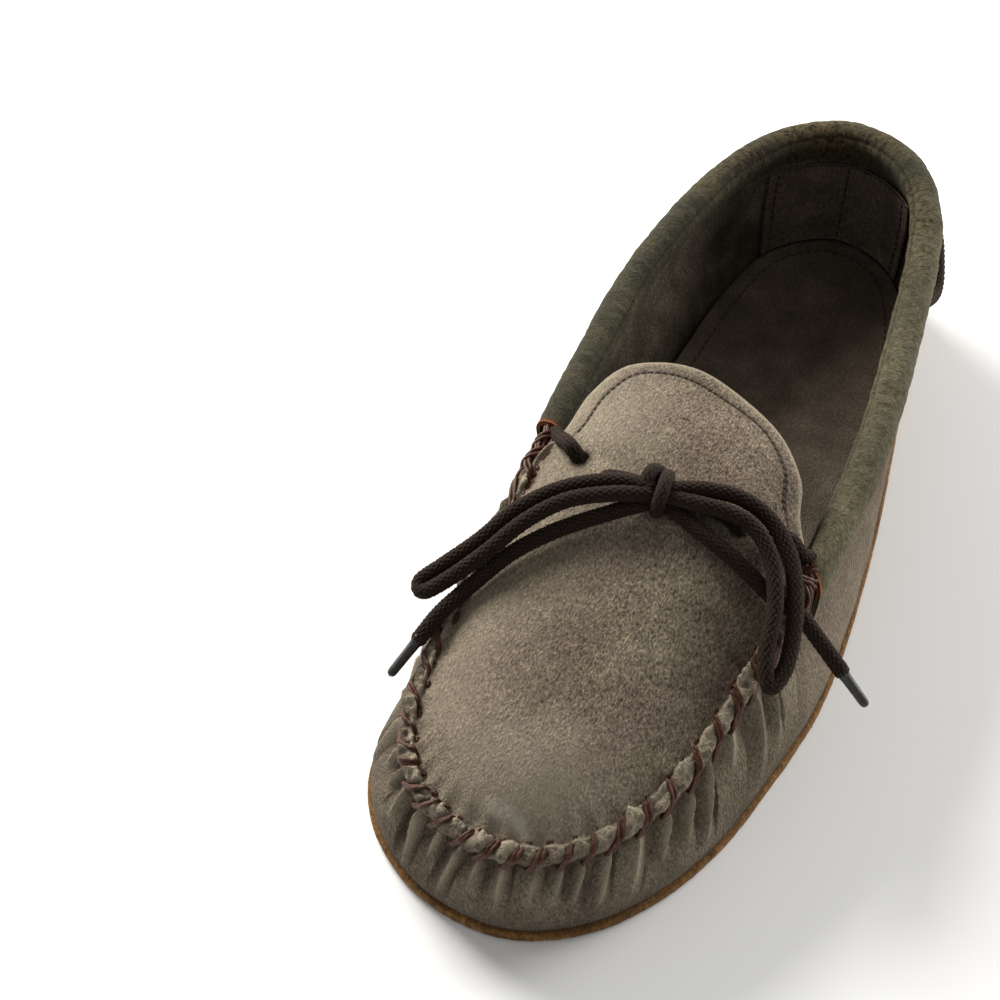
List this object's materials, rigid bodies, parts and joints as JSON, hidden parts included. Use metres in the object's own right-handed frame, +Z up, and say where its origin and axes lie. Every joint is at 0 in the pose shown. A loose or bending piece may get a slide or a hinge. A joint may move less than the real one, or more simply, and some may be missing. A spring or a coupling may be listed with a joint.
{
  "type": "moccasin",
  "caption": "Slip-on suede moccasin for the left foot with a puckered whip-stitched toe seam, rolled collar, thin sole, laced bow and a tongue that folds up.",
  "frame": {"origin": "middle of the outsole's outline box, on the floor under the sole", "axes": "+Z up, toe towards -Y, heel towards +Y, outer side of the left foot towards +X"},
  "size_m": [0.1247, 0.2856, 0.0695],
  "materials": {
    "outsole": "fibrous edge",
    "midsole_cushion": "foam",
    "insole": "suede",
    "suede": "suede nap",
    "collar": "napped suede",
    "stiffener": "non-woven",
    "lining": "suede",
    "fine_thread": "sewing thread",
    "whip_thread": "waxed thread",
    "lace": "round braid",
    "aglet": "moulded tip"
  },
  "bodies": {
    "shoe": {"outsole": "outsole", "midsole_cushion": "midsole_cushion", "insole": "insole", "insole_stitching": "fine_thread", "moccasin_wrap": "suede", "heel_counter": "stiffener", "heel_lining": "lining", "heel_lining_stitching": "fine_thread", "back_seam_stitching": "fine_thread", "apron": "suede", "apron_whip_stitching": "whip_thread", "collar_binding": "collar", "collar_stitching": "fine_thread", "lace_collar_run": "lace", "lace_knot": "lace", "lace_loop_left": "lace", "lace_loop_right": "lace", "lace_tail_left": "lace", "lace_tail_right": "lace", "aglet_left": "aglet", "aglet_right": "aglet"},
    "tongue": {"tongue": "suede", "tongue_edge_stitching": "fine_thread"}
  },
  "joints": [
    {"name": "tongue_lift", "type": "hinge", "parent": "shoe", "child": "tongue", "pos_m": [0.00359, -0.024, 0.06399], "axis": [0.986, -0.1668, 0], "range_deg": [-6, 50], "stiffness_Nm_per_rad": 0.02}
  ]
}
